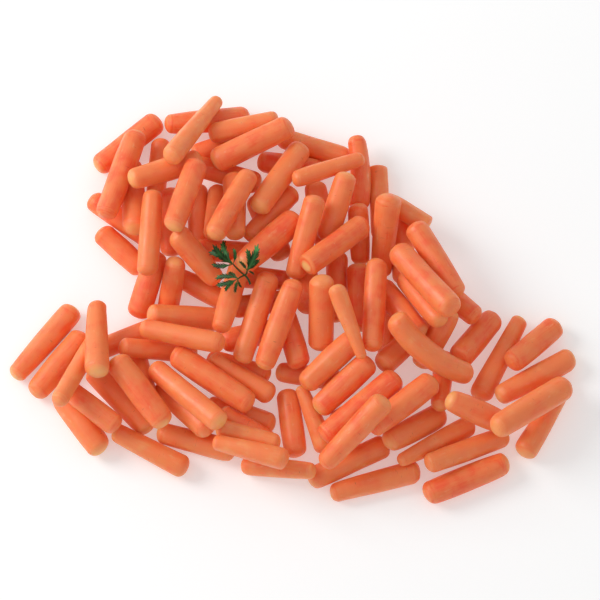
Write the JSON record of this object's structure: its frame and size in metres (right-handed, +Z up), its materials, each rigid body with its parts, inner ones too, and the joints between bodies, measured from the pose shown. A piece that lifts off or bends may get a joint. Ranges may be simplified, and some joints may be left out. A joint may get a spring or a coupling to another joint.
{
  "type": "bunch of carrots",
  "caption": "Loose heap of small peeled baby-cut carrots with rounded ends, lying on a flat surface, with a small feathery sprig of parsley on top.",
  "frame": {"origin": "middle of the heap's outline, on the surface that it lies on", "axes": "+X to the right along the heap's longest side, -Y toward the front that the sprig faces, +Z up"},
  "size_m": [0.3384, 0.2498, 0.061],
  "materials": {
    "carrot_flesh": "peeled raw carrot, moist satin with fine lengthwise streaks",
    "parsley_leaf": "soft leaf, faintly waxy",
    "parsley_stem": "ribbed green stalk, satin"
  },
  "bodies": {
    "root": {"carrot_pair_01": "carrot_flesh", "carrot_pair_02": "carrot_flesh", "carrot_pair_03": "carrot_flesh", "carrot_pair_04": "carrot_flesh", "carrot_pair_05": "carrot_flesh", "carrot_pair_06": "carrot_flesh", "carrot_pair_07": "carrot_flesh", "carrot_pair_08": "carrot_flesh", "carrot_pair_09": "carrot_flesh", "carrot_pair_10": "carrot_flesh", "carrot_pair_11": "carrot_flesh", "carrot_pair_12": "carrot_flesh", "carrot_pair_13": "carrot_flesh", "carrot_pair_14": "carrot_flesh", "carrot_pair_15": "carrot_flesh", "carrot_pair_16": "carrot_flesh", "carrot_pair_17": "carrot_flesh", "carrot_pair_18": "carrot_flesh", "carrot_pair_19": "carrot_flesh", "carrot_pair_20": "carrot_flesh", "carrot_pair_21": "carrot_flesh", "carrot_pair_22": "carrot_flesh", "carrot_pair_23": "carrot_flesh", "carrot_pair_24": "carrot_flesh", "carrot_pair_25": "carrot_flesh", "carrot_pair_26": "carrot_flesh", "carrot_pair_27": "carrot_flesh", "carrot_pair_28": "carrot_flesh", "carrot_pair_29": "carrot_flesh", "carrot_pair_30": "carrot_flesh", "carrot_pair_31": "carrot_flesh", "carrot_pair_32": "carrot_flesh", "carrot_pair_33": "carrot_flesh", "carrot_pair_34": "carrot_flesh", "carrot_pair_35": "carrot_flesh", "carrot_pair_36": "carrot_flesh", "carrot_pair_37": "carrot_flesh", "carrot_pair_38": "carrot_flesh", "carrot_pair_39": "carrot_flesh", "carrot_pair_40": "carrot_flesh", "carrot_pair_41": "carrot_flesh", "carrot_pair_42": "carrot_flesh", "carrot_pair_43": "carrot_flesh", "carrot_pair_44": "carrot_flesh", "carrot_pair_45": "carrot_flesh", "carrot_pair_46": "carrot_flesh", "carrot_pair_47": "carrot_flesh", "carrot_pair_48": "carrot_flesh", "carrot_pair_49": "carrot_flesh", "carrot_pair_50": "carrot_flesh", "carrot_pair_51": "carrot_flesh", "carrot_pair_52": "carrot_flesh", "carrot_pair_53": "carrot_flesh", "carrot_pair_54": "carrot_flesh", "carrot_pair_55": "carrot_flesh", "carrot_pair_56": "carrot_flesh", "leaf_front": "parsley_leaf", "leaf_left": "parsley_leaf", "leaf_right": "parsley_leaf", "sprig_stem": "parsley_stem"}
  },
  "joints": []
}
